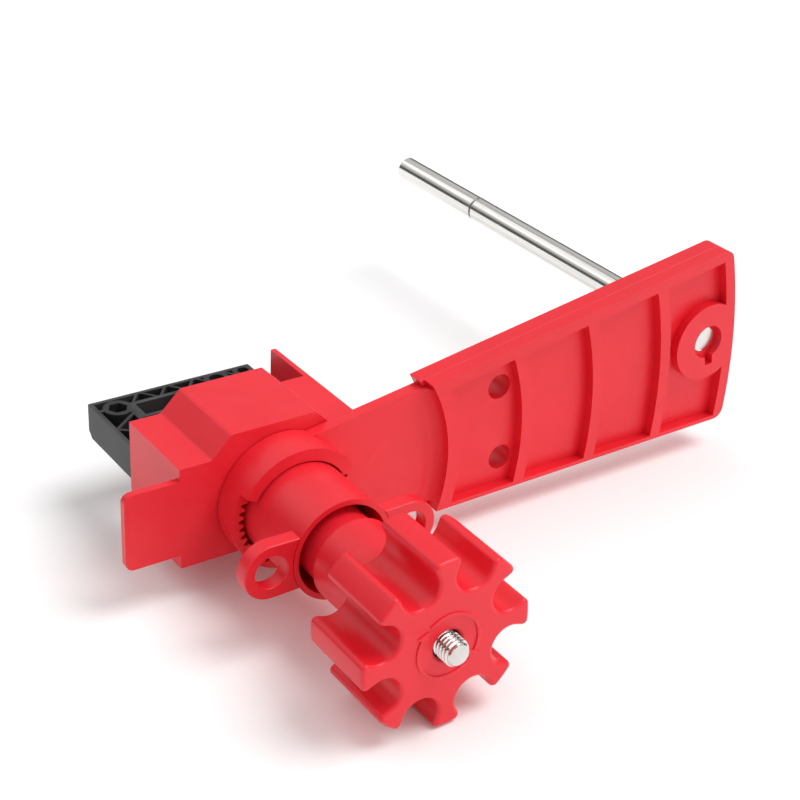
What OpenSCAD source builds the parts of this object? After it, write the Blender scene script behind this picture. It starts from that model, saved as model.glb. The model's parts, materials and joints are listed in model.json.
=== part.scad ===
// Screw-clamp lockout for valve handles, with an indexing blocking arm.
// The clamp screw lies along Y. Its knob faces -Y and its hook jaw lies behind the housing, at +Y.
// Origin: on the screw axis, at the flat seat that a valve handle is pulled against.
// Everything that turns about the screw is drawn along +Z and then laid forward (towards -Y) by forward().

/* [Housing] */
// Distance from the handle seat forward to the housing's front face
housing_depth = 32.5; // [30:0.5:40]
// Left side of the housing body, from the screw axis
body_left = 33; // [32:0.5:38]
// Right side of the housing body, from the screw axis
body_right = 29.6; // [29:0.2:34]
// Height of the low shelf above the screw axis
shelf_low = 17.2; // [16:0.2:20]
// Height of the high shelf above the screw axis
shelf_high = 24.1; // [22:0.1:28]
// Depth of the housing's flat bottom below the screw axis
body_bottom = 16.6; // [16:0.2:20]
// Wall thickness of the housing
wall = 3; // [2.5:0.5:3.5]
// Reach of the thin left flange beyond the body
flange_reach = 17.6; // [10:0.2:22]
// Thickness of the left flange
flange_t = 2.4; // [2:0.2:4]
// Reach of the right guide fin behind the handle seat
fin_reach = 20.8; // [14:0.2:24]
// Thickness of the right guide fin
fin_t = 1.8; // [1.4:0.2:2.2]

/* [Hook jaw] */
// Height of the jaw
jaw_h = 11.5; // [9:0.5:11.5]
// Back face of the jaw's bar, behind the handle seat
jaw_back = 35; // [30:0.5:40]
// Depth of the jaw's bar
jaw_bar = 16; // [12:0.5:18]
// Right end of the jaw's bar, from the screw axis
jaw_right = 27.2; // [24:0.2:27.4]
// Wall between the open cores of the jaw
core_wall = 1.4; // [1.2:0.1:2]

/* [Screw and knob] */
// Thread diameter of the clamp stud
stud_d = 8; // [8:2:8]
// Front tip of the stud, ahead of the handle seat
stud_tip = 126; // [122:1:130]
// Front face of the knob, ahead of the handle seat
knob_front = 121; // [118:1:124]
// Length of the knob's lobes
knob_l = 26; // [20:1:30]
// Diameter over the knob's lobes
knob_d = 54; // [48:1:56]
// Number of lobes, with one padlock flute between each two
lobes = 8; // [6:1:9]
// Width of a padlock flute
flute_w = 11.4; // [10:0.2:11.5]
// Diameter of the neck behind the lobes
neck_d = 26.6; // [24:0.2:28]

/* [Lock sleeve] */
// Outside diameter of the sleeve
sleeve_d = 32.6; // [32:0.2:33]
// Front rim of the sleeve, ahead of the handle seat
sleeve_front = 68.7; // [66:0.1:72]
// Distance from the screw axis to each padlock hole
ear_x = 23.3; // [22:0.1:24]
// Diameter of the padlock holes
ear_hole_d = 10.4; // [8:0.2:11]
// Radius of an ear's round end
ear_r = 8.7; // [8:0.1:10]
// Thickness of the ears
ear_t = 5; // [4:0.5:6]

/* [Blocking arm] */
// Tilt of the arm above the housing's right, in degrees
arm_tilt = 5.2; // [0:0.1:30]
// Radius of the arm's far end about the screw axis
arm_r = 175.5; // [150:0.5:200]
// Half width of the arm where the thick part begins
arm_half_w = 23.6; // [20:0.1:26]
// Widening of the half width, per millimetre along the arm
arm_flare = 0.08; // [0:0.01:0.1]
// Outside radius of the arm's hub
hub_r = 20.8; // [20:0.1:22]
// Number of index teeth inside the hub
index_teeth = 42; // [36:6:60]
// Radius at which the thick part of the arm begins
step_r = 55.7; // [54:0.1:60]
// Spacing of the curved ribs
rib_pitch = 29; // [26:0.5:32]
// Width of the ribs and of the upper rim
rib_w = 4; // [3:0.2:6]
// Width of the lower rim
low_rim_w = 1.5; // [1:0.1:4]
// Depth of the pockets in the arm's face
pocket_d = 3.4; // [3:0.1:4.3]
// Diameter of the two accessory holes
hole_d = 8.6; // [6:0.2:10]

/* [Blocking rod] */
// Rod diameter
rod_d = 9.5; // [9.5:0.5:9.5]
// Distance from the screw axis to the rod
rod_r = 163.9; // [155:0.1:165]
// Far tip of the rod, behind the handle seat
rod_tip = 142; // [120:1:160]
// Joint between the rod and its screwed-on extension, behind the handle seat
rod_joint = 91; // [70:1:100]

/* [Hidden] */
$fn = 96;

red = [0.86, 0.07, 0.10];
black = [0.10, 0.10, 0.11];
steel = [0.72, 0.73, 0.74];
brass = [0.80, 0.62, 0.28];
eps = 0.02;

// Housing
slope_run = 5.6;
slant_right = shelf_high - shelf_low;
high_left = -16.3;
high_right = 12.5;
cover_t = 4;
cavity_front = housing_depth - wall;
side_wall = 1.9;
guide_gap = 0.35;
slot_half = jaw_h / 2 + guide_gap;
rail_t = 1.6;
rail_front = 26;
rail_spans = [[-body_left + side_wall - eps, -9], [9, body_right - fin_t - 0.2 + eps]];
boss_r = 3.4;
screw_r = 1.6;
screw_places = [[-26.4, -10.1], [-26.4, 10.7], [22, -10.1], [22, 10.7]];
spigot_r = 13.5;
spigot_bore_r = 10.5;
spigot_back = 26.5;
key_w = 4;
key_h = 1.5;
grip_groove = 0.8;

// Jaw
jaw_left = -30.8;
leg_right = -19.5;
jaw_front = jaw_back - jaw_bar;
arm_back_y = -5.8;
arm_front_y = -13.2;
arm_right = 14;
core_depth = 9;
jaw_chamfer = 2.2;

// Sleeve
sleeve_r = sleeve_d / 2;
bore_r = 14.6;
web_front = 36.2;
ring_seat = 43.3;

// Hub
root_t = 4;
root_back = housing_depth + 0.3;
root_front = root_back + root_t;
hub_front = root_front + 5.2;
collar_front = hub_front + 3.5;
collar_start = 25;
collar_end = 147;
tooth_tip_r = 17.3;
tooth_root_r = 19;
index_ring_r = 17;
frame_t = 4.9;
frame_front = root_front + frame_t;
plate_back = root_back - 1.8;
root_half_w = 17.3;
root_flare = 0.07;
boss_out_r = 14;
back_boss_r = 10;
back_boss_l = 4;
step_fillet = 4.6;
fillet_r = step_r - 0.05 - step_fillet;
tongue_r = 68;
tongue_half_w = 15;
tongue_back = root_back + 1.2;
corner_r = 4;
hole_u = 78;
hole_w = 13.2;
hole_shift = -1.6;
hole_boss_back = plate_back - 3;
arm_screw_places = [
    for (place = [[step_r + 2.4, 10], [step_r + 2 * rib_pitch + 1.9, 20], [step_r + 3 * rib_pitch + 1.9, 21]],
         side = [-1, 1])
        [sqrt(pow(place[0], 2) - pow(place[1], 2)), side * place[1]]];

// Stud, knob
stud_r = stud_d / 2;
knob_back = knob_front - knob_l;
barrel_r = 11.6;
barrel_back = 37.8;
neck_back = 74;
insert_r = 6.5;
insert_front = 104;
insert_l = 20;
lobe_angle = 3;
flute_centre_r = 22.3;

// Rod
rod_front = 39;
rod_mouth_r = 6;
key_pin_f = 35.4;
key_angle = -85;
rod_radius = rod_d / 2;

// ---------- helpers ----------

// Lays a shape drawn along +Z forward, so that its +Z points to -Y and its +Y to +Z
module forward() rotate([90, 0, 0]) children();

// A plain disc or tube from a to b ahead of the handle seat
module disc(r, a, b) forward() translate([0, 0, a]) cylinder(r = r, h = b - a);

// Points on an arc
function arc(c, r, a0, a1, n = 12) =
    [for (i = [0 : n]) c + r * [cos(a0 + (a1 - a0) * i / n), sin(a0 + (a1 - a0) * i / n)]];

// A rectangle with round corners
module round_rect(x0, y0, x1, y1, r) {
    translate([x0 + r, y0]) square([x1 - x0 - 2 * r, y1 - y0]);
    translate([x0, y0 + r]) square([x1 - x0, y1 - y0 - 2 * r]);
    for (x = [x0 + r, x1 - r], y = [y0 + r, y1 - r]) translate([x, y]) circle(r = r, $fn = 32);
}

// A hexagon by its width across flats
module hexagon(across) circle(d = across / cos(30), $fn = 6);

// A split retaining ring, open at the bottom
module snap_ring(r_in, r_out, a, b, gap) {
    forward() translate([0, 0, a]) difference() {
        cylinder(r = r_out, h = b - a);
        translate([0, 0, -1]) cylinder(r = r_in, h = b - a + 2);
        translate([-gap / 2, -r_out - 1, -1]) cube([gap, r_out, b - a + 2]);
    }
}

// ---------- housing ----------

// Section of the body across the screw: two shelves, joined by a filleted slope
module body_section(inset_left, inset_right, inset) {
    top = shelf_low - inset;
    high = shelf_high - inset;
    left = -body_left + inset_left;
    slope_foot = high_left - slope_run + 0.4 * inset;
    slope_head = high_left + 0.4 * inset;
    fillet = 1.8;
    polygon(concat(
        [[left, -body_bottom + inset], [body_right - inset_right, -body_bottom + inset],
         [body_right - inset_right, top], [high_right + slant_right - 0.4 * inset, top],
         [high_right - 0.4 * inset, high]],
        arc([slope_head + 1.2, high - fillet], fillet, 90, 141, 5),
        arc([slope_foot - 1.6, top + fillet], fillet, 321, 270, 5),
        [[left, top]]));
}

module clamp_housing() color(red) {
    difference() {
        union() {
            forward() linear_extrude(housing_depth) body_section(0, 0, 0);
            forward() translate([0, 0, housing_depth - flange_t]) linear_extrude(flange_t)
                round_rect(-body_left - flange_reach, -12, -body_left + 6, 13.2, 2.6);
            translate([body_right - fin_t, 0, -body_bottom])
                cube([fin_t, fin_reach, body_bottom + shelf_low]);
        }
        // cavity, open at the back for the seat cover
        forward() translate([0, 0, -1]) linear_extrude(cavity_front + 1)
            body_section(side_wall, fin_t + 0.2, wall);
        // bore and keyway for the sleeve's spigot
        disc(spigot_r + 0.05, cavity_front - 1, housing_depth + 1);
        translate([-key_w / 2 - 0.05, -housing_depth - 1, spigot_r - 1])
            cube([key_w + 0.1, wall + 2, key_h + 1.1]);
    }
    // guide rails for the jaw, open in the middle where its jam nut passes
    for (z = [slot_half, -slot_half - rail_t], span = rail_spans)
        translate([span[0], -rail_front, z]) cube([span[1] - span[0], rail_front - cover_t, rail_t]);
    // screw bosses that carry the seat cover
    for (p = screw_places) difference() {
        forward() translate([p[0], p[1], cover_t]) cylinder(r = boss_r, h = cavity_front - cover_t + eps);
        forward() translate([p[0], p[1], cover_t - 1]) cylinder(r = 1.2, h = 13);
    }
}

// The plate that closes the cavity and carries the handle seat
module seat_cover() color(red) difference() {
    forward() linear_extrude(cover_t) body_section(side_wall + 0.1, fin_t + 0.3, wall + 0.1);
    // opening for the jaw's leg
    translate([-body_left, -cover_t - 1, -slot_half])
        cube([body_left + leg_right + 0.6, cover_t + 2, 2 * slot_half]);
    // upright grip grooves in the seat
    for (x = [-13, -7, 7, 13])
        translate([x, 0, -20]) cylinder(r = grip_groove, h = 50, $fn = 24);
    for (p = screw_places) {
        forward() translate([p[0], p[1], -1]) cylinder(r = screw_r + 0.1, h = cover_t + 2);
        forward() translate([p[0], p[1], -eps]) cylinder(r1 = 3.1, r2 = screw_r, h = 1.7);
    }
}

module cover_screws() color(steel)
    for (p = screw_places) forward() translate([p[0], p[1], 0]) difference() {
        union() {
            translate([0, 0, 0.1]) cylinder(r1 = 2.9, r2 = screw_r - 0.1, h = 1.5);
            translate([0, 0, 0.1]) cylinder(r = screw_r - 0.1, h = cover_t - 0.2);
            translate([0, 0, cover_t - 0.5]) cylinder(r = 1.15, h = 11);
        }
        for (turn = [0, 90]) rotate([0, 0, turn]) translate([-1.7, -0.35, -0.5]) cube([3.4, 0.7, 1.5]);
    }

// ---------- sleeve ----------

module ear_outline(side) {
    hull() {
        translate([side * ear_x, 0]) circle(r = ear_r, $fn = 64);
        translate([side * (sleeve_r - 6), 0]) square([4, 2 * ear_r - 0.6], center = true);
    }
}

module lock_sleeve() color(red) difference() {
    union() {
        disc(sleeve_r, housing_depth, sleeve_front);
        disc(spigot_r, spigot_back, housing_depth + eps);
        forward() translate([0, 0, root_back]) linear_extrude(root_front - root_back)
            tooth_ring(index_ring_r - 0.7, index_ring_r);
        translate([-key_w / 2, -housing_depth - eps, spigot_r - 1]) cube([key_w, wall, key_h + 1]);
    }
    disc(bore_r, web_front, sleeve_front + 1);
    disc(stud_r + 0.6, spigot_back - 1, web_front + 1);
    disc(spigot_bore_r, spigot_back - 1, housing_depth);
    // grooves for the two retaining rings
    disc(bore_r + 0.6, ring_seat, ring_seat + 1.6);
    forward() translate([0, 0, 27.6]) difference() {
        cylinder(r = spigot_r + 2, h = 1.8);
        translate([0, 0, -1]) cylinder(r = spigot_r - 0.8, h = 4);
    }
}

module padlock_ears() color(red) for (side = [-1, 1])
    forward() translate([0, 0, sleeve_front - ear_t]) difference() {
        linear_extrude(ear_t) difference() {
            ear_outline(side);
            circle(r = sleeve_r, $fn = 144);
        }
        translate([side * ear_x, 0, -1]) cylinder(d = ear_hole_d, h = ear_t + 2);
    }

module sleeve_snap_ring() color(steel) snap_ring(spigot_r - 0.75, spigot_r + 2.1, 27.7, 29.3, 17);

module thrust_washer() color(steel) difference() {
    disc(bore_r - 0.4, web_front, web_front + 1.4);
    disc(stud_r + 0.6, web_front - 1, web_front + 3);
}

module knob_retaining_ring() color(steel)
    snap_ring(barrel_r + 0.5, bore_r + 0.5, ring_seat + 0.1, ring_seat + 1.5, 9);

// ---------- jaw ----------

module jaw_outline() polygon([
    [jaw_left, arm_front_y], [arm_right, arm_front_y], [arm_right, arm_back_y],
    [leg_right, arm_back_y], [leg_right, jaw_front], [jaw_right, jaw_front],
    [jaw_right, jaw_back], [jaw_left, jaw_back]]);

// Open cores of the bar and the leg, seen from above
module jaw_cores() {
    row_y = jaw_back - core_wall - 4;
    difference() {
        union() {
            // back row, full length of the bar
            translate([jaw_left + core_wall, row_y])
                square([jaw_right - jaw_left - 2 * core_wall, 4]);
            // leg
            translate([jaw_left + core_wall, 1])
                square([leg_right - jaw_left - 2 * core_wall, row_y - 1 - core_wall]);
            // long pockets of the bar
            for (x = [-17.6, 0.8, 12.6])
                translate([x, jaw_front + core_wall])
                    square([x < 0 ? 17 : 10.4, row_y - jaw_front - 2.2 * core_wall]);
        }
        // zigzag ribs of the back row
        for (i = [0 : 7]) translate([-16 + 5 * i, row_y + 2])
            rotate(i % 2 == 0 ? 52 : -52) square([8, core_wall * 0.7], center = true);
        // crossed ribs of the leg
        for (i = [0 : 2]) translate([(jaw_left + leg_right) / 2, 5.5 + 7 * i])
            rotate(i % 2 == 0 ? 38 : -38) square([16, core_wall * 0.8], center = true);
        // round bosses
        translate([-23.5, 28.4]) circle(r = 4.8);
        translate([13.4, 31]) circle(r = 4.4);
        translate([23.6, 31.8]) circle(r = 3.6);
    }
}

module jaw() color(black) difference() {
    translate([0, 0, -jaw_h / 2]) linear_extrude(jaw_h) jaw_outline();
    translate([0, 0, jaw_h / 2 - core_depth]) linear_extrude(core_depth + 1) {
        jaw_cores();
        translate([-23.5, 28.4]) hexagon(5.6);
        translate([13.4, 31]) circle(r = 2.6, $fn = 32);
        translate([23.6, 31.8]) circle(r = 1.9, $fn = 32);
    }
    // chamfer under the back edge
    translate([0, jaw_back, -jaw_h / 2]) rotate([45, 0, 0])
        cube([90, 1.41 * jaw_chamfer, 1.41 * jaw_chamfer], center = true);
    // stud hole and the hexagon that keeps the stud from turning
    disc(stud_r + 0.05, 1, 20);
    forward() translate([0, 0, -arm_back_y - 1]) linear_extrude(1 + 3.6) hexagon(10.2);
}

module clamp_stud() color(steel) {
    forward() translate([0, 0, -arm_back_y]) linear_extrude(3.5) hexagon(10);
    disc(stud_r, -arm_back_y + 3.4, stud_tip - 1);
    forward() translate([0, 0, stud_tip - 1]) cylinder(r1 = stud_r, r2 = stud_r - 0.9, h = 1);
}

module stud_lock_washer() color(steel) difference() {
    disc(6.6, -arm_front_y, -arm_front_y + 1.6);
    disc(stud_r + 0.1, -arm_front_y - 1, -arm_front_y + 3);
    translate([-0.4, arm_front_y - 3, 2]) cube([0.8, 4, 7]);
}

module stud_jam_nut() color(steel) difference() {
    forward() translate([0, 0, -arm_front_y + 1.6]) linear_extrude(4.6) hexagon(13);
    disc(stud_r + 0.02, -arm_front_y, -arm_front_y + 8);
}

// ---------- knob ----------

// Outline of the lobes: a round with U-shaped padlock flutes
module lobe_outline() difference() {
    circle(d = knob_d, $fn = 144);
    for (i = [0 : lobes - 1]) rotate(lobe_angle + (i + 0.5) * 360 / lobes) {
        translate([flute_centre_r, 0]) circle(d = flute_w, $fn = 40);
        translate([flute_centre_r, -flute_w / 2]) square([knob_d / 2, flute_w]);
    }
}

// The round blank that the flutes are cut from, with a rounded front rim
module knob_blank() {
    rim = 1.1;
    rear = 0.8;
    r = knob_d / 2;
    forward() rotate_extrude($fn = 144) polygon(concat(
        [[0, knob_back], [r - rear, knob_back]],
        arc([r - rear, knob_back + rear], rear, -90, 0, 4),
        arc([r - rim, knob_front - rim], rim, 0, 90, 8),
        [[0, knob_front]]));
}

// Two raised arrows around the stud that show which way the knob turns
module turn_arrows() for (side = [0, 180]) rotate(side) {
    difference() {
        circle(r = 10.3);
        circle(r = 9.3);
        rotate(150) translate([-20, 0]) square([40, 20]);
        rotate(-50) translate([-20, -20]) square([40, 20]);
    }
    rotate(-28) translate([9.8, 0]) rotate(-90) polygon([[0, -1.9], [0, 1.9], [3, -0.3]]);
}

module knob() color(red) {
    difference() {
        union() {
            intersection() {
                knob_blank();
                forward() translate([0, 0, knob_back - 1]) linear_extrude(knob_l + 2) lobe_outline();
            }
            disc(neck_d / 2, neck_back, knob_back + eps);
            disc(barrel_r, barrel_back, neck_back + eps);
            disc(bore_r - 0.4, barrel_back, ring_seat - 0.3);
        }
        disc(stud_r + 0.4, barrel_back - 1, knob_front + 1);
        disc(insert_r, barrel_back - 1, insert_front);
        forward() translate([0, 0, knob_front - 1]) cylinder(r1 = stud_r + 0.4, r2 = stud_r + 1.5, h = 1.01);
    }
    forward() translate([0, 0, knob_front - eps]) linear_extrude(0.5) turn_arrows();
}

// Knurled threaded insert
module knob_insert() color(brass) difference() {
    union() {
        disc(insert_r - 0.5, insert_front - insert_l, insert_front);
        for (z = [insert_front - insert_l, insert_front - 6])
            forward() translate([0, 0, z]) linear_extrude(6) tooth_ring(insert_r - 0.6, insert_r - 0.05, 30);
    }
    disc(stud_r + 0.05, insert_front - insert_l - 1, insert_front + 1);
}

// ---------- arm ----------

// Lays a shape drawn along the arm (x = outwards, z = forward) at its tilt
module on_arm() rotate([0, -arm_tilt, 0]) forward() children();

// A round outline with outward teeth
module tooth_ring(root, tip, count = index_teeth) polygon([
    for (i = [0 : count - 1], k = [0 : 3])
        let (a = 360 / count * (i + [0, 0.25, 0.5, 0.75][k]))
        (k == 1 || k == 2 ? tip : root) * [cos(a), sin(a)]]);

function half_w(u) = arm_half_w + arm_flare * (u - step_r - 0.3);

// Full outline of the thick part, from radius r_in to the rounded far end
module paddle_outline(r_in) {
    slope = atan(arm_flare);
    base = half_w(0) - corner_r / cos(slope);
    reach = arm_r - corner_r;
    cu = (sqrt(pow(reach, 2) * (1 + pow(arm_flare, 2)) - pow(base, 2)) - base * arm_flare)
         / (1 + pow(arm_flare, 2));
    cw = base + arm_flare * cu;
    polar = atan2(cw, cu);
    difference() {
        polygon(concat(
            [[30, half_w(30)]],
            arc([cu, cw], corner_r, 90 + slope, polar, 8),
            arc([0, 0], arm_r, polar, -polar, 24),
            arc([cu, -cw], corner_r, -polar, -90 - slope, 8),
            [[30, -half_w(30)]]));
        circle(r = r_in, $fn = 180);
    }
}

// One pocket between two curved ribs
module pocket_outline(r_in, r_out) intersection() {
    difference() {
        circle(r = r_out, $fn = 180);
        circle(r = r_in, $fn = 180);
    }
    polygon([[40, half_w(40) - rib_w], [180, half_w(180) - rib_w],
             [180, low_rim_w - half_w(180)], [40, low_rim_w - half_w(40)]]);
}

// The four pockets; k counts outwards from the hub
module pockets() for (k = [0 : 3])
    pocket_outline(step_r + k * rib_pitch + (k == 0 ? 4.8 : rib_w), step_r + (k + 1) * rib_pitch - 0.2);

module root_outline() polygon([
    [0, root_half_w], [step_r + 1, root_half_w + root_flare * step_r],
    [step_r + 1, -root_half_w - root_flare * step_r], [0, -root_half_w]]);

module hub_section() difference() {
    union() {
        circle(r = hub_r, $fn = 144);
        intersection() {
            circle(r = step_r - 1.6, $fn = 180);
            root_outline();
        }
    }
    tooth_ring(tooth_tip_r, tooth_root_r);
}

// Section of the fillet between the root's front face and the step; x = radius, y = height
module fillet_section() polygon(concat(
    arc([fillet_r, step_fillet], step_fillet, -90, 0, 8),
    [[step_r - 0.05, 0.05], [step_r - 1.7, 0.05], [step_r - 1.7, -0.4], [fillet_r, -0.4]]));

module tongue_outline(gap) intersection() {
    difference() {
        circle(r = tongue_r + gap, $fn = 180);
        circle(r = step_r - 3, $fn = 180);
    }
    translate([0, -tongue_half_w - gap]) square([tongue_r + 5, 2 * tongue_half_w + 2 * gap]);
}

module accessory_holes(a, b) for (side = [-1, 1])
    translate([hole_u, hole_shift + side * hole_w, a]) cylinder(d = hole_d, h = b - a);

// Hub with its index teeth, thin root with the step's fillet, and the tongue between the two halves
module arm_hub() color(red) on_arm() difference() {
    union() {
        translate([0, 0, root_back]) linear_extrude(root_t) hub_section();
        translate([0, 0, root_front - eps]) linear_extrude(hub_front - root_front + eps) difference() {
            circle(r = hub_r, $fn = 144);
            tooth_ring(tooth_tip_r, tooth_root_r);
        }
        // raised part-collar around the sleeve
        translate([0, 0, hub_front - eps]) linear_extrude(collar_front - hub_front + eps) difference() {
            circle(r = hub_r, $fn = 144);
            circle(r = sleeve_r + 0.6, $fn = 144);
            polygon([[0, 0], 40 * [cos(collar_end), sin(collar_end)], [-60, -60], [60, -60],
                     40 * [cos(collar_start), sin(collar_start)]]);
        }
        intersection() {
            translate([0, 0, root_front]) rotate_extrude($fn = 180) fillet_section();
            translate([0, 0, root_front - 1]) linear_extrude(step_fillet + 1) root_outline();
        }
        translate([0, 0, tongue_back]) linear_extrude(root_front - tongue_back) tongue_outline(0);
    }
    for (p = arm_screw_places) translate([p[0], p[1], plate_back]) cylinder(r = 1.2, h = 8, $fn = 32);
}

// The back half of the thick part
module arm_plate() color(red) on_arm() difference() {
    union() {
        translate([0, 0, plate_back]) linear_extrude(root_front - plate_back) paddle_outline(step_r - 1.5);
        translate([rod_r, 0, plate_back - back_boss_l]) cylinder(r = back_boss_r, h = back_boss_l + 1);
        for (side = [-1, 1]) translate([hole_u, hole_shift + side * hole_w, hole_boss_back])
            cylinder(d = hole_d + 4, h = plate_back - hole_boss_back + 1);
    }
    // shallow cores in the back
    translate([0, 0, plate_back - 1]) linear_extrude(4.4) difference() {
        pockets();
        translate([rod_r, 0]) circle(r = boss_out_r);
        for (side = [-1, 1]) translate([hole_u, hole_shift + side * hole_w]) circle(d = hole_d + 5);
        for (p = arm_screw_places) translate(p) circle(r = 3.6, $fn = 32);
        circle(r = tongue_r + 2, $fn = 180);
    }
    // recess for the hub's tongue
    translate([0, 0, tongue_back - 0.05]) linear_extrude(10) tongue_outline(0.1);
    accessory_holes(hole_boss_back - 1, frame_front);
    translate([rod_r, 0, 0]) cylinder(r = rod_radius + 0.05, h = frame_front);
    // slot for the rod's key pin
    translate([rod_r, 0, key_pin_f - 1.15]) rotate(key_angle) translate([0, -1.15, 0]) cube([8.2, 2.3, 6]);
    for (p = arm_screw_places) {
        translate([p[0], p[1], plate_back - 1]) cylinder(r = 1.5, h = 8, $fn = 32);
        translate([p[0], p[1], plate_back - eps]) cylinder(r = 2.7, h = 2, $fn = 32);
    }
}

// The ribbed front half of the thick part
module arm_frame() color(red) on_arm() difference() {
    translate([0, 0, root_front]) linear_extrude(frame_t) paddle_outline(step_r);
    translate([0, 0, frame_front - pocket_d]) linear_extrude(pocket_d + 1) difference() {
        pockets();
        translate([rod_r, 0]) circle(r = boss_out_r);
    }
    accessory_holes(root_front - 1, frame_front);
    translate([rod_r, 0, 0]) cylinder(r = rod_radius + 0.05, h = frame_front + 1);
    // wide mouth and notch around the rod's front end
    translate([rod_r, 0, frame_front - 3]) cylinder(r = rod_mouth_r, h = 4);
    translate([rod_r, 0, frame_front - 3]) rotate(key_angle) translate([0, -1.6, 0]) cube([9, 3.2, 6]);
    for (p = arm_screw_places) translate([p[0], p[1], root_front - 1]) cylinder(r = 1.1, h = 3.6, $fn = 32);
}

module arm_screws() color(steel) on_arm() for (p = arm_screw_places)
    translate([p[0], p[1], plate_back]) difference() {
        union() {
            cylinder(r = 2.55, h = 1.8, $fn = 32);
            translate([0, 0, 1]) cylinder(r = 1.05, h = root_front - plate_back + 1, $fn = 32);
        }
        for (turn = [0, 90]) rotate(turn) translate([-1.5, -0.3, -0.5]) cube([3, 0.6, 1.4]);
    }

// A round bar along the rod's axis, from a to b ahead of the handle seat
module rod_bar(r, a, b) on_arm() translate([rod_r, 0, a]) cylinder(r = r, h = b - a);

// The same bar with its ends tapered to r_a and r_b
module rod_taper(r_a, r_b, a, b) on_arm() translate([rod_r, 0, a]) cylinder(r1 = r_a, r2 = r_b, h = b - a);

module blocking_rod() color(steel) difference() {
    union() {
        rod_bar(rod_radius, -rod_joint + 0.4, rod_front - 0.3);
        rod_taper(rod_radius, rod_radius - 0.3, rod_front - 0.3 - eps, rod_front);
        rod_taper(rod_radius - 0.4, rod_radius, -rod_joint, -rod_joint + 0.4 + eps);
    }
    rod_bar(2.55, -rod_joint - 1, -rod_joint + 13);
    on_arm() translate([rod_r, 0, plate_back - back_boss_l - 1.35]) difference() {
        cylinder(r = rod_radius + 1, h = 1.2);
        translate([0, 0, -1]) cylinder(r = rod_radius - 0.5, h = 3);
    }
    on_arm() translate([rod_r, 0, key_pin_f]) rotate([0, 90, key_angle]) cylinder(r = 1.05, h = 8);
}

module rod_extension() color(steel) {
    rod_bar(rod_radius - 0.9, -rod_joint - 0.9, -rod_joint - eps);
    rod_bar(2.5, -rod_joint - 1, -rod_joint + 12);
    rod_bar(rod_radius, -rod_tip + 0.8, -rod_joint - 0.8);
    rod_taper(rod_radius - 0.8, rod_radius, -rod_tip, -rod_tip + 0.8 + eps);
}

module rod_key_pin() color(steel) on_arm() translate([rod_r, 0, key_pin_f])
    rotate([0, 90, key_angle]) cylinder(r = 1, h = 7.6);

module rod_snap_ring() color(steel) on_arm() translate([rod_r, 0, plate_back - back_boss_l - 1.3]) difference() {
    cylinder(r = rod_radius + 1.6, h = 1.1);
    translate([0, 0, -1]) cylinder(r = rod_radius - 0.45, h = 4);
    rotate(90) translate([2, -1.6, -1]) cube([8, 3.2, 4]);
}

clamp_housing();
seat_cover();
cover_screws();
lock_sleeve();
padlock_ears();
sleeve_snap_ring();
thrust_washer();
knob_retaining_ring();
jaw();
clamp_stud();
stud_lock_washer();
stud_jam_nut();
knob();
knob_insert();
arm_hub();
arm_plate();
arm_frame();
arm_screws();
blocking_rod();
rod_extension();
rod_key_pin();
rod_snap_ring();
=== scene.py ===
# %% [markdown]
# # Valve handle lockout clamp
# This lockout grips a valve's lever handle between a red moulded housing and a black hook jaw.
# A knob on a threaded stud draws them together, a sleeve with two ears takes the padlocks, and
# an arm with a steel rod keeps the handle from swinging. The parts already have their true
# shapes, so most of the work here is their finish: soft edges, grain and light. Only the stud
# and the knob are modelled again, with a real thread and with rounder corners. The parts come
# first.

# %% Load the parts
import json
import math

import bmesh
import bpy
from mathutils import Matrix, Vector


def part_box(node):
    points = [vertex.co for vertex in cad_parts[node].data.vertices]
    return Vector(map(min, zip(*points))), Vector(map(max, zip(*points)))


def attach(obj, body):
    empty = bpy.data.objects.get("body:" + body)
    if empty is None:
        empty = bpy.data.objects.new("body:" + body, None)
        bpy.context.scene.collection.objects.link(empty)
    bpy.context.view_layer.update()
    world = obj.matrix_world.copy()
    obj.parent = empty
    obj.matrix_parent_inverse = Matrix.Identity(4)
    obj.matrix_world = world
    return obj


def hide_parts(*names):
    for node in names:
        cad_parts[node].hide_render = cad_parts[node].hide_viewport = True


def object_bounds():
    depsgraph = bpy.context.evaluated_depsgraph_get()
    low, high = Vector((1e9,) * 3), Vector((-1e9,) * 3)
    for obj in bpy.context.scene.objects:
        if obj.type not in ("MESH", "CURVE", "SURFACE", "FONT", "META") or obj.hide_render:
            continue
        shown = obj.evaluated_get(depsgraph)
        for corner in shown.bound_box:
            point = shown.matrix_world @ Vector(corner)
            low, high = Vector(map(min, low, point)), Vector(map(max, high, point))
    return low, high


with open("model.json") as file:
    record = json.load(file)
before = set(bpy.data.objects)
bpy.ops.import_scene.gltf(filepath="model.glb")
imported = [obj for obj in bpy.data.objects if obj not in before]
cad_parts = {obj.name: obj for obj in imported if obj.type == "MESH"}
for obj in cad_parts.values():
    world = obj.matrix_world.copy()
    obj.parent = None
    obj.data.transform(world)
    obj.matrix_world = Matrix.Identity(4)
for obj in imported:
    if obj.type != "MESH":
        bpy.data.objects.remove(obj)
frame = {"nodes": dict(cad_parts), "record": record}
parts = frame["nodes"]
cad_low, cad_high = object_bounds()
MM = 0.001
print("parts:", len(parts), "size in mm:", [round(v / MM, 1) for v in cad_high - cad_low])

# %% [markdown]
# ## Camera
# A catalogue view looks down on the knob from its left. The camera could be aimed with a
# Track To constraint, but three angles and a place say exactly where it stands, and the small
# roll stays under control. Its axes are built from the angles and become a rotation.

# %% Set up the camera
AZIMUTH, ELEVATION, ROLL = math.radians(-35.18), math.radians(28.54), math.radians(-2.93)
CAMERA_PLACE = Vector((-0.2243, -0.41134, 0.27211))
LENS = 77.29

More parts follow.
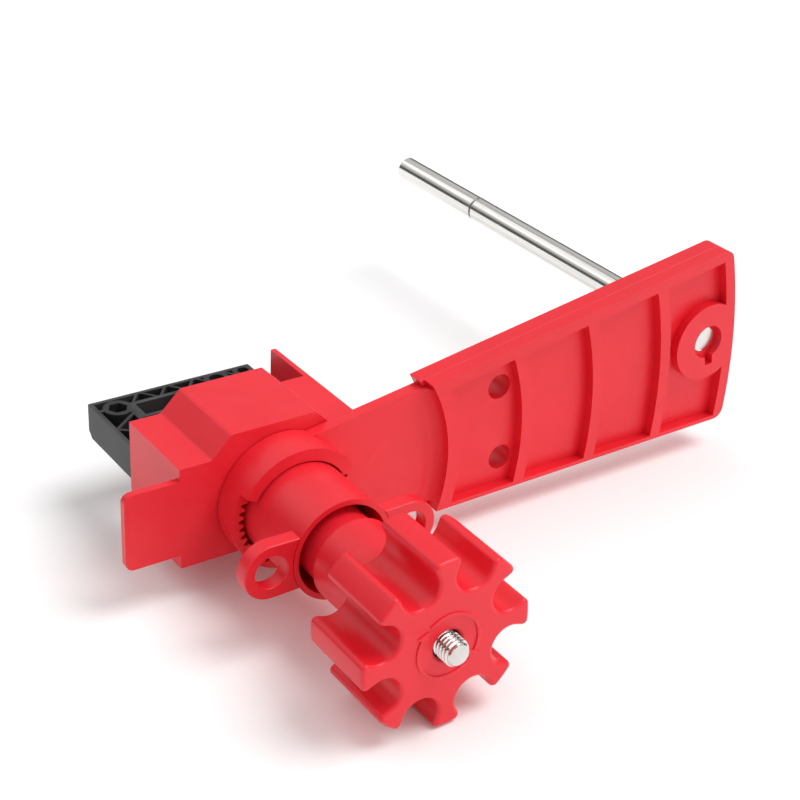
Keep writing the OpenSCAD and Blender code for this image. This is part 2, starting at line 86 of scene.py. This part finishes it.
back = Vector((math.sin(AZIMUTH) * math.cos(ELEVATION),
               -math.cos(AZIMUTH) * math.cos(ELEVATION),
               math.sin(ELEVATION)))
level = Vector((math.cos(AZIMUTH), math.sin(AZIMUTH), 0))
upright = back.cross(level)
right = level * math.cos(ROLL) - upright * math.sin(ROLL)
up = level * math.sin(ROLL) + upright * math.cos(ROLL)

camera = bpy.data.objects.new("camera", bpy.data.cameras.new("camera"))
bpy.context.scene.collection.objects.link(camera)
camera.matrix_world = Matrix.Translation(CAMERA_PLACE) @ Matrix((right, up, back)).transposed().to_4x4()
camera.data.lens = LENS
camera.data.sensor_width = 36
camera.data.clip_start = 0.01
camera.data.clip_end = 50
bpy.context.scene.camera = camera
print("camera looks along", [round(v, 2) for v in -back])

# %% [markdown]
# ## Helpers for node trees
# Every finish below is a tree of shader nodes. Placing nodes one by one takes three lines for
# each, so one helper makes a node, sets its values and links what feeds it. A second helper
# starts a node group, which is an effect that several materials share.

# %% Make a node, make a group
def node(tree, kind, inputs=None, **settings):
    made = tree.nodes.new(kind)
    for name, value in settings.items():
        setattr(made, name, value)
    for name, value in (inputs or {}).items():
        if isinstance(value, bpy.types.NodeSocket):
            tree.links.new(value, made.inputs[name])
        else:
            made.inputs[name].default_value = value
    return made


def new_group(name, inputs, outputs):
    group = bpy.data.node_groups.new(name, "ShaderNodeTree")
    for label, value in inputs.items():
        kind = "NodeSocketVector" if value is None else "NodeSocketFloat"
        socket = group.interface.new_socket(label, in_out="INPUT", socket_type=kind)
        if value is not None:
            socket.default_value = value
    for label in outputs:
        group.interface.new_socket(label, in_out="OUTPUT", socket_type="NodeSocketFloat")
    return group, group.nodes.new("NodeGroupInput"), group.nodes.new("NodeGroupOutput")


print("node helpers ready")

# %% [markdown]
# ## Moulding grain
# Nylon copies the spark-eroded texture of its mould: tiny even bumps, and broad soft clouds
# where the melt flowed and cooled. Two noises on Object coordinates give both, a fine one for
# the bump's height and a broad one for the tone, and neither needs a UV map.

# %% Group: moulding grain
grain, grain_in, grain_out = new_group(
    "moulding_grain", {"Grain Scale": 2500.0, "Cloud Scale": 30.0}, ["Height", "Tone"])
place = node(grain, "ShaderNodeTexCoord")
bumps = node(grain, "ShaderNodeTexNoise", {
    "Vector": place.outputs["Object"], "Scale": grain_in.outputs["Grain Scale"],
    "Detail": 3.0, "Roughness": 0.6})
clouds = node(grain, "ShaderNodeTexNoise", {
    "Vector": place.outputs["Object"], "Scale": grain_in.outputs["Cloud Scale"],
    "Detail": 4.0, "Roughness": 0.55, "Distortion": 0.8})
grain.links.new(bumps.outputs["Fac"], grain_out.inputs["Height"])
grain.links.new(clouds.outputs["Fac"], grain_out.inputs["Tone"])
print("group:", grain.name)

# %% [markdown]
# ## Edge sheen and polish
# A moulding's outer edges catch light on their small radius. In the plastics this mask paints them
# a little paler, a painted sheen that stands in for that light; in the metals it only lowers the
# roughness, a polish. Pointiness says how strongly the surface bends outwards, and a noise breaks
# its even line into uneven patches. Painting a mask by hand would have to be done for every part.

# %% Group: edge sheen and polish (a painted sheen in the plastics)
# the mask drives a painted edge sheen in the plastics and only a lower roughness in the metals
sheen_and_polish_group, sheen_and_polish_in, sheen_and_polish_out = new_group(
    "edge_sheen_and_polish", {"Start": 0.52, "End": 0.60, "Patch Scale": 90.0}, ["Mask"])
place = node(sheen_and_polish_group, "ShaderNodeTexCoord")
bend = node(sheen_and_polish_group, "ShaderNodeNewGeometry")
edge = node(sheen_and_polish_group, "ShaderNodeMapRange", {
    "Value": bend.outputs["Pointiness"], "From Min": sheen_and_polish_in.outputs["Start"],
    "From Max": sheen_and_polish_in.outputs["End"]})
patches = node(sheen_and_polish_group, "ShaderNodeTexNoise", {
    "Vector": place.outputs["Object"], "Scale": sheen_and_polish_in.outputs["Patch Scale"], "Detail": 5.0})
uneven = node(sheen_and_polish_group, "ShaderNodeMapRange", {
    "Value": patches.outputs["Fac"], "From Min": 0.35, "From Max": 0.65, "To Min": 0.25})
sheen_and_polish_mask = node(sheen_and_polish_group, "ShaderNodeMath", {0: edge.outputs["Result"], 1: uneven.outputs["Result"]},
            operation="MULTIPLY")
sheen_and_polish_group.links.new(sheen_and_polish_mask.outputs["Value"], sheen_and_polish_out.inputs["Mask"])
print("group:", sheen_and_polish_group.name)

# %% [markdown]
# ## Fine lines
# Drawn bar and turned steel carry hair-fine lines, along the bar or around it. A noise that is
# stretched far along one direction makes them, and a Mapping node in each material chooses the
# direction, so the group needs only a vector.

# %% Group: fine lines
lines, lines_in, lines_out = new_group("fine_lines", {"Vector": None}, ["Height", "Tone"])
hairs = node(lines, "ShaderNodeTexNoise", {
    "Vector": lines_in.outputs["Vector"], "Scale": 1.0, "Detail": 6.0, "Roughness": 0.7})
smears = node(lines, "ShaderNodeMapRange", {
    "Value": hairs.outputs["Fac"], "From Min": 0.3, "From Max": 0.7})
lines.links.new(hairs.outputs["Fac"], lines_out.inputs["Height"])
lines.links.new(smears.outputs["Result"], lines_out.inputs["Tone"])
print("group:", lines.name)

# %% [markdown]
# ## Plastic finishes
# The red parts are nylon with a satin skin, and the jaw is black nylon filled with glass
# fibre, which is duller and shows a grey bloom. One function makes both: the clouds shift
# colour and roughness a little, the edges get a painted sheen that makes them paler, and the
# grain is a bump of a few hundredths of a millimetre.

# %% Make the plastics
def group_node(tree, group, **inputs):
    made = node(tree, "ShaderNodeGroup")
    made.node_tree = group
    for name, value in inputs.items():
        made.inputs[name.replace("_", " ")].default_value = value
    return made


def new_material(name):
    material = bpy.data.materials.new(name)
    material.use_nodes = True
    return material, material.node_tree, material.node_tree.nodes["Principled BSDF"]


def plastic(name, deep, pale, edge_sheen_colour, gloss, grain_depth, edge_sheen_strength):
    material, tree, surface = new_material(name)
    skin = group_node(tree, grain, Grain_Scale=2200.0, Cloud_Scale=28.0)
    sheen_and_polish = group_node(tree, sheen_and_polish_group)
    tint = node(tree, "ShaderNodeMixRGB", {
        "Fac": skin.outputs["Tone"], "Color1": (*deep, 1), "Color2": (*pale, 1)})
    # painted sheen: the edges are mixed towards a pale colour that stands in for the light their radius
    # catches
    sheen_amount = node(tree, "ShaderNodeMath", {0: sheen_and_polish.outputs["Mask"], 1: edge_sheen_strength},
                  operation="MULTIPLY")
    colour = node(tree, "ShaderNodeMixRGB", {
        "Fac": sheen_amount.outputs["Value"], "Color1": tint.outputs["Color"],
        "Color2": (*edge_sheen_colour, 1)})
    shine = node(tree, "ShaderNodeMapRange", {
        "Value": skin.outputs["Tone"], "To Min": gloss - 0.04, "To Max": gloss + 0.06})
    bump = node(tree, "ShaderNodeBump", {
        "Height": skin.outputs["Height"], "Strength": 0.35, "Distance": grain_depth * MM})
    tree.links.new(colour.outputs["Color"], surface.inputs["Base Color"])
    tree.links.new(shine.outputs["Result"], surface.inputs["Roughness"])
    tree.links.new(bump.outputs["Normal"], surface.inputs["Normal"])
    surface.inputs["IOR"].default_value = 1.5
    surface.inputs["Specular IOR Level"].default_value = 0.42
    return material


# the third colour of each plastic is its painted edge sheen
red_nylon = plastic("red_nylon", (0.70, 0.010, 0.022), (0.86, 0.018, 0.034),
                    (0.95, 0.10, 0.11), gloss=0.36, grain_depth=0.05, edge_sheen_strength=0.08)
black_nylon = plastic("black_fibre_nylon", (0.014, 0.014, 0.016), (0.032, 0.032, 0.035),
                      (0.10, 0.10, 0.10), gloss=0.46, grain_depth=0.08, edge_sheen_strength=0.5)
print("plastics:", red_nylon.name, black_nylon.name)

# %% [markdown]
# ## Metal finishes
# The rod is drawn stainless bar, with lines along it and a soft sheen. The stud, nut and
# washer are turned, so their lines run around the screw. Screws are zinc plated, retaining
# rings are blackened spring steel, and the knob's insert is brass. They differ in colour,
# roughness and in how the line pattern is stretched.

# %% Make the metals
def metal(name, dark, light, gloss, stretch, depth):
    material, tree, surface = new_material(name)
    place = node(tree, "ShaderNodeTexCoord")
    turned = node(tree, "ShaderNodeMapping", {"Vector": place.outputs["Object"], "Scale": stretch})
    marks = group_node(tree, lines)
    tree.links.new(turned.outputs["Vector"], marks.inputs["Vector"])
    sheen_and_polish = group_node(tree, sheen_and_polish_group)
    tint = node(tree, "ShaderNodeMixRGB", {
        "Fac": marks.outputs["Tone"], "Color1": (*dark, 1), "Color2": (*light, 1)})
    shine = node(tree, "ShaderNodeMapRange", {
        "Value": marks.outputs["Tone"], "To Min": gloss + 0.08, "To Max": gloss - 0.05})
    polished = node(tree, "ShaderNodeMath", {
        0: shine.outputs["Result"], 1: sheen_and_polish.outputs["Mask"]}, operation="SUBTRACT",
        use_clamp=True)
    floor_value = node(tree, "ShaderNodeMath", {0: polished.outputs["Value"], 1: 0.12},
                       operation="MAXIMUM")
    bump = node(tree, "ShaderNodeBump", {
        "Height": marks.outputs["Height"], "Strength": 0.4, "Distance": depth * MM})
    tree.links.new(tint.outputs["Color"], surface.inputs["Base Color"])
    tree.links.new(floor_value.outputs["Value"], surface.inputs["Roughness"])
    tree.links.new(bump.outputs["Normal"], surface.inputs["Normal"])
    surface.inputs["Metallic"].default_value = 1.0
    return material


ALONG = (2500, 25, 2500)
AROUND = (60, 4000, 60)
drawn_steel = metal("drawn_stainless_bar", (0.66, 0.65, 0.62), (0.88, 0.87, 0.84), 0.30, ALONG, 0.02)
turned_steel = metal("turned_stainless", (0.55, 0.54, 0.52), (0.80, 0.79, 0.77), 0.24, AROUND, 0.02)
zinc_plate = metal("zinc_plated_steel", (0.48, 0.49, 0.50), (0.68, 0.69, 0.70), 0.36, AROUND, 0.02)
black_spring = metal("blackened_spring_steel", (0.05, 0.05, 0.055), (0.12, 0.12, 0.13), 0.38, AROUND, 0.02)
brass = metal("turned_brass", (0.62, 0.42, 0.16), (0.80, 0.60, 0.27), 0.26, AROUND, 0.02)
FINISH = {"red_plastic": red_nylon, "black_nylon": black_nylon, "rod_steel": drawn_steel,
          "bright_steel": turned_steel, "screw_steel": zinc_plate, "spring_steel": black_spring,
          "brass_insert": brass}
print("metals:", [m.name for m in FINISH.values()][2:])

# %% [markdown]
# ## Soft edges
# No moulded or turned edge is razor sharp: it has a small radius, and that radius catches a
# thin line of light. The parts' own meshes stay as they are, so a Weld modifier joins their
# loose triangles, and Decimate dissolves the lines across flat faces. A Bevel modifier rounds
# what is sharper than the angle limit, and Weighted Normal keeps the flat faces flat.

# %% Round the edges and hand out the finishes
SHARP = math.radians(34)
SAME_PLANE = math.radians(0.5)
SAME_POINT = 0.002 * MM


def join_and_flatten(part):
    weld = part.modifiers.new("join_corners", "WELD")
    weld.merge_threshold = SAME_POINT
    flat = part.modifiers.new("whole_faces", "DECIMATE")
    flat.decimate_type = "DISSOLVE"
    flat.angle_limit = SAME_PLANE


def round_edges(part, radius, segments, flatness):
    for face in part.data.polygons:
        face.use_smooth = True
    round_off = part.modifiers.new("edge_radius", "BEVEL")
    round_off.width = radius * MM
    round_off.segments = segments
    round_off.limit_method = "ANGLE"
    round_off.angle_limit = SHARP
    keep_flat = part.modifiers.new("flat_faces", "WEIGHTED_NORMAL")
    keep_flat.keep_sharp = True
    keep_flat.weight = flatness


MOULDED_EDGES = {"clamp_housing": 0.8, "lock_sleeve": 0.4, "padlock_ears": 0.5, "arm_hub": 0.4,
                 "arm_plate": 0.45, "arm_frame": 0.5, "jaw": 0.3, "seat_cover": 0.3}
TURNED_EDGE = 0.12
slot_of = {row["node"]: row["material_slot"] for row in frame["record"]["subparts"]}
for name, part in parts.items():
    join_and_flatten(part)
    if name in MOULDED_EDGES:
        round_edges(part, MOULDED_EDGES[name], segments=3, flatness=90)
    else:
        round_edges(part, TURNED_EDGE, segments=2, flatness=90)
    part.data.materials.clear()
    part.data.materials.append(FINISH[slot_of[name]])
print("softened", len(parts), "parts")

# %% [markdown]
# ## Threaded stud
# The clamp stud is a length of M8 thread with a hexagon head. A plain cylinder gives itself
# away at once where it stands out of the knob. The thread is one V profile, spun around the
# axis while it climbs one pitch per turn. The ends are cut square with bisect and closed.

# %% Model the stud with its thread
STUD_R = 4.0 * MM
ROOT_R = 3.38 * MM
PITCH = 1.25 * MM
SIDES = 32
TIP_CHAMFER = 1.0 * MM
HEAD_T = 3.5 * MM
SHANK_L = 8 * MM
stud_low, stud_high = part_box("clamp_stud")
stud_tip, head_back = stud_low.y, stud_high.y
thread_end = head_back - HEAD_T - SHANK_L


def climb_thread(shape, start, end):
    turns = math.ceil((end - start) / PITCH) + 2
    valley_and_crest = [(ROOT_R, 0), (ROOT_R, 0.12), (STUD_R, 0.44), (STUD_R, 0.56),
                        (ROOT_R, 0.88), (ROOT_R, 1)]
    points = [shape.verts.new((r, start - PITCH + step * PITCH, 0)) for r, step in valley_and_crest]
    edges = [shape.edges.new(pair) for pair in zip(points, points[1:])]
    bmesh.ops.spin(shape, geom=points + edges, cent=(0, 0, 0), axis=(0, 1, 0),
                   dvec=(0, PITCH / SIDES, 0), angle=math.tau * turns, steps=SIDES * turns,
                   use_merge=False, use_duplicate=False)
    bmesh.ops.remove_doubles(shape, verts=shape.verts, dist=SAME_POINT)
    for at, facing in ((start, -1), (end, 1)):
        cut = bmesh.ops.bisect_plane(shape, geom=shape.verts[:] + shape.edges[:] + shape.faces[:],
                                     dist=1e-7, plane_co=(0, at, 0), plane_no=(0, facing, 0),
                                     clear_outer=True)
        rim = [g for g in cut["geom_cut"] if isinstance(g, bmesh.types.BMEdge)]
        bmesh.ops.triangle_fill(shape, edges=rim, use_beauty=True)
    bmesh.ops.recalc_face_normals(shape, faces=shape.faces)


thread = bmesh.new()
climb_thread(thread, stud_tip, thread_end)
for corner in thread.verts:
    reach = math.hypot(corner.co.x, corner.co.z)
    allowed = STUD_R - 0.85 * max(0, stud_tip + TIP_CHAMFER - corner.co.y)
    if reach > allowed:
        corner.co.x *= allowed / reach
        corner.co.z *= allowed / reach
print("thread faces:", len(thread.faces), "closed:", all(e.is_manifold for e in thread.edges))

# %% [markdown]
# ## Stud head and shank
# The hexagon head sits in the jaw and keeps the stud from turning, and a plain shank runs from
# it to the thread. A create_cone with six sides is the head, and bevel breaks its edges. All
# three shapes share one mesh, because they are one bar of steel.

# %% Add the head and hand the stud to its body
def bar(shape, radius, start, end, sides):
    made = bmesh.ops.create_cone(shape, cap_ends=True, segments=sides, radius1=radius,
                                 radius2=radius, depth=end - start)
    lay = Matrix.Translation((0, (start + end) / 2, 0)) @ Matrix.Rotation(math.pi / 2, 4, "X")
    bmesh.ops.transform(shape, matrix=lay, verts=made["verts"])
    return made["verts"]


def finished(shape, name, material):
    mesh = bpy.data.meshes.new(name)
    shape.to_mesh(mesh)
    shape.free()
    piece = bpy.data.objects.new(name, mesh)
    bpy.context.scene.collection.objects.link(piece)
    mesh.materials.append(material)
    return piece


HEAD_R = 5.0 * MM / math.cos(math.pi / 6)
SHANK_R = ROOT_R + 0.1 * MM
head_front = head_back - HEAD_T
head = bar(thread, HEAD_R, head_front, head_back, 6)
rim = {e for v in head for e in v.link_edges}
bmesh.ops.bevel(thread, geom=list(rim), offset=0.3 * MM, offset_type="OFFSET", segments=2,
                affect="EDGES", profile=0.5, material=-1)
bar(thread, SHANK_R, thread_end - 0.05 * MM, head_front + 0.1 * MM, SIDES)
stud = finished(thread, "threaded_stud", turned_steel)
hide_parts("clamp_stud")
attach(stud, "hook_jaw")
print("stud from", round(stud_tip / MM, 1), "to", round(head_back / MM, 1), "mm")

# %% [markdown]
# ## Knob outline
# The knob has eight lobes with a padlock flute between each two. Every corner of it is round,
# more than a Bevel modifier can make on the loaded mesh, so its outline is computed here: for
# each point where it lies and which way is out. A copy set inwards by any distance then has
# the same number of points, so the rims can be rounded by stacking such copies.

# %% Compute the outline
LOBES = 8
LOBE_L = 26
LOBE_TURN = 3.0
KNOB_R = 27.0
FLUTE_R = 5.7
FLUTE_AT = 22.3
CORNER_R = 1.6
ARROW_LIFT = 0.5
knob_low, knob_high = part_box("knob")
face_at = -knob_low.y / MM - ARROW_LIFT
lobe_back = face_at - LOBE_L


def polar(centre, radius, start, end, steps, inward=False):
    points = []
    for step in range(steps + 1):
        angle = math.radians(start + (end - start) * step / steps)
        out = Vector((math.cos(angle), math.sin(angle)))
        points.append((Vector(centre) + out * radius, -out if inward else out))
    return points


def flute_and_lobe():
    side = FLUTE_R + CORNER_R
    reach = math.sqrt((KNOB_R - CORNER_R) ** 2 - side ** 2)
    lean = math.degrees(math.atan2(side, reach))
    into_flute = polar((reach, -side), CORNER_R, -lean, 90, 7)
    flute = polar((FLUTE_AT, 0), FLUTE_R, -90, -270, 16, inward=True)
    out_of_flute = polar((reach, side), CORNER_R, -90, lean, 7)
    lobe = polar((0, 0), KNOB_R, lean, 360 / LOBES - lean, 5)[1:-1]
    return into_flute + flute + out_of_flute + lobe


def knob_outline():
    whole = []
    for lobe in range(LOBES):
        turn = Matrix.Rotation(math.radians(LOBE_TURN + (lobe + 0.5) * 360 / LOBES), 2)
        whole += [(turn @ place, turn @ out) for place, out in flute_and_lobe()]
    return whole


outline = knob_outline()
print("outline points:", len(outline))

# %% [markdown]
# ## Rings
# A moulded body with an odd outline is easiest to build from rings: the same outline laid one
# ahead of the other, with faces between each two. Bridge_loops makes those faces, and a
# triangle fill closes whatever is still open in one flat plane.

# %% Lay, bridge and close rings
def ring_of(shape, points, ahead):
    corners = [shape.verts.new((x * MM, -ahead * MM, z * MM)) for x, z in points]
    return [shape.edges.new((corners[k - 1], corners[k])) for k in range(len(corners))]


def bridge(shape, rings):
    for first, second in zip(rings, rings[1:]):
        bmesh.ops.bridge_loops(shape, edges=first + second)


def close_flat(shape, ahead):
    open_edges = [edge for edge in shape.edges if edge.is_boundary
                  and all(abs(corner.co.y + ahead * MM) < SAME_POINT for corner in edge.verts)]
    bmesh.ops.triangle_fill(shape, edges=open_edges, use_beauty=True)


print("ring helpers ready")

# %% [markdown]
# ## Lobes, neck and bore
# The lobes are rings of the outline, set inwards along a quarter circle at both rims. The neck
# is turned instead: one spin of its profile. The profile runs from the lobes back along the
# neck and barrel to the collar that the retaining ring holds, and forward again inside, past
# the insert's seat, to the countersunk hole.

# %% Build the knob
REAR_RIM = 0.9
FRONT_RIM = 1.3
NECK_R, NECK_BACK = 13.3, 74
BARREL_R, BARREL_BACK = 11.6, 37.8
COLLAR_R, COLLAR_FRONT = 14.2, 43
SEAT_R, SEAT_FRONT = 6.5, 104
HOLE_R = 4.4

quarter = [math.pi / 2 * step / 6 for step in range(7)]
levels = [(REAR_RIM * (1 - math.sin(bend)), lobe_back + REAR_RIM * (1 - math.cos(bend)))
          for bend in quarter]
levels += [(FRONT_RIM * (1 - math.cos(bend)), face_at - FRONT_RIM * (1 - math.sin(bend)))
           for bend in quarter]
neck = [(NECK_R + 1, lobe_back), (NECK_R + 0.4, lobe_back - 0.2), (NECK_R + 0.1, lobe_back - 0.5),
        (NECK_R, lobe_back - 1), (NECK_R, NECK_BACK + 0.3), (NECK_R - 0.3, NECK_BACK),
        (BARREL_R, NECK_BACK), (BARREL_R, COLLAR_FRONT), (COLLAR_R, COLLAR_FRONT),
        (COLLAR_R, BARREL_BACK), (SEAT_R, BARREL_BACK), (SEAT_R, SEAT_FRONT), (HOLE_R, SEAT_FRONT),
        (HOLE_R, face_at - 1), (HOLE_R + 0.5, face_at - 0.3), (HOLE_R + 1.1, face_at)]

knob_shape = bmesh.new()
bridge(knob_shape, [ring_of(knob_shape, [place - out * inset for place, out in outline], ahead)
                    for inset, ahead in levels])
profile = [knob_shape.verts.new((radius * MM, -ahead * MM, 0)) for radius, ahead in neck]
profile_edges = [knob_shape.edges.new(pair) for pair in zip(profile, profile[1:])]
bmesh.ops.spin(knob_shape, geom=profile + profile_edges, cent=(0, 0, 0), axis=(0, 1, 0),
               angle=math.tau, steps=96, use_merge=True, use_duplicate=False)
close_flat(knob_shape, lobe_back)
close_flat(knob_shape, face_at)
bmesh.ops.recalc_face_normals(knob_shape, faces=knob_shape.faces)
print("knob faces:", len(knob_shape.faces), "closed:", all(e.is_manifold for e in knob_shape.edges))

# %% [markdown]
# ## Turning arrows
# Two thin raised arrows around the stud show which way the knob turns. Each is a flat outline
# with a head at one end, lifted a little from the face and rooted a little below it. It goes
# into the knob's mesh, because it is moulded with it, and a small Bevel modifier takes the
# sharpness off.

# %% Add the arrows and hand the knob to its body
ARROW_R = 9.8
ARROW_HALF = 0.5
HEAD_HALF = 1.9
ARROW_ROOT = 0.4


def on_circle(radius, degrees):
    return radius * math.cos(math.radians(degrees)), radius * math.sin(math.radians(degrees))


def arrow(shape, turn):
    head_at = turn - 28
    arc = range(head_at, head_at + 157, 4)
    outer = [on_circle(ARROW_R + ARROW_HALF, a) for a in arc]
    inner = [on_circle(ARROW_R - ARROW_HALF, a) for a in reversed(arc)]
    head = [on_circle(ARROW_R - HEAD_HALF, head_at), on_circle(ARROW_R, head_at - 18),
            on_circle(ARROW_R + HEAD_HALF, head_at)]
    root, top = face_at - ARROW_ROOT, face_at + ARROW_LIFT - 0.1
    bridge(shape, [ring_of(shape, outer + inner + head, ahead) for ahead in (root, top)])
    close_flat(shape, root)
    close_flat(shape, top)


for turn in (0, 180):
    arrow(knob_shape, turn)
bmesh.ops.recalc_face_normals(knob_shape, faces=knob_shape.faces)
print("with arrows:", len(knob_shape.faces), "closed:", all(e.is_manifold for e in knob_shape.edges))
knob_piece = finished(knob_shape, "lobed_knob", red_nylon)
round_edges(knob_piece, 0.1, segments=2, flatness=60)
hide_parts("knob")
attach(knob_piece, "knob")
print("knob from", round(knob_low.y / MM, 1), "to", round(knob_high.y / MM, 1), "mm")

# %% [markdown]
# ## Floor
# The clamp lies on a plain pale surface that runs out of the picture on every side, so there
# is no horizon. One large grid does it, just under the lowest part. A little emission lifts it
# towards white without washing out the soft shadow.

# %% Lay the floor
floor_z = cad_low.z - 0.4 * MM
floor_shape = bmesh.new()
bmesh.ops.create_grid(floor_shape, x_segments=4, y_segments=4, size=6,
                      matrix=Matrix.Translation((0, 0, floor_z)))
paper, _, paper_surface = new_material("white_paper")
paper_surface.inputs["Base Color"].default_value = (0.93, 0.93, 0.93, 1)
paper_surface.inputs["Roughness"].default_value = 0.9
paper_surface.inputs["Specular IOR Level"].default_value = 0.1
paper_surface.inputs["Emission Color"].default_value = (1, 1, 1, 1)
paper_surface.inputs["Emission Strength"].default_value = 0.03
floor = finished(floor_shape, "floor", paper)
print("floor at", round(floor_z / MM, 2), "mm")

# %% [markdown]
# ## Light
# Large soft lights show moulded plastic best: their wide reflections draw the rounded edges
# without hard spots. A sun with a wide angle is soft like a big box overhead, but it lights
# the whole floor evenly. The key stands to the upper right, a second one behind lifts the top
# faces, and a low one in front fills the upright faces. A room with a pale ceiling and darker
# walls gives the steel something to reflect.

# %% Hang the lights
def soft_sun(name, direction, softness, power):
    light = bpy.data.lights.new(name, "SUN")
    light.angle = math.radians(softness)
    light.energy = power
    lamp = bpy.data.objects.new(name, light)
    lamp.matrix_world = (-Vector(direction)).to_track_quat("-Z", "Y").to_matrix().to_4x4()
    bpy.context.scene.collection.objects.link(lamp)
    return lamp


key = soft_sun("key_light", (0.50, -0.25, 1.00), 35, 1.9)
top = soft_sun("top_light", (-0.35, 0.45, 1.00), 60, 0.55)
fill = soft_sun("front_fill", (0.30, -1.00, 0.22), 50, 0.85)
world = bpy.data.worlds.new("pale_room")
bpy.context.scene.world = world
world.use_nodes = True
room = world.node_tree
aim = node(room, "ShaderNodeTexCoord")
height = node(room, "ShaderNodeSeparateXYZ", {"Vector": aim.outputs["Generated"]})
rise = node(room, "ShaderNodeMapRange", {"Value": height.outputs["Z"], "From Min": -1.0})
walls = node(room, "ShaderNodeValToRGB", {"Fac": rise.outputs["Result"]})
bands = ((0.0, 0.55), (0.47, 0.32), (0.53, 0.12), (0.63, 0.18), (0.69, 0.80), (0.80, 0.90),
         (0.87, 0.52), (1.0, 0.62))
ramp = walls.color_ramp.elements
while len(ramp) < len(bands):
    ramp.new(0.5)
for stop, (at, shade) in zip(ramp, bands):
    stop.position = at
    stop.color = (shade, shade, shade, 1)
room.links.new(walls.outputs["Color"], room.nodes["Background"].inputs["Color"])
room.nodes["Background"].inputs["Strength"].default_value = 0.75
bpy.context.scene.view_settings.view_transform = "Standard"
print("lights:", [lamp.name for lamp in (key, top, fill)])
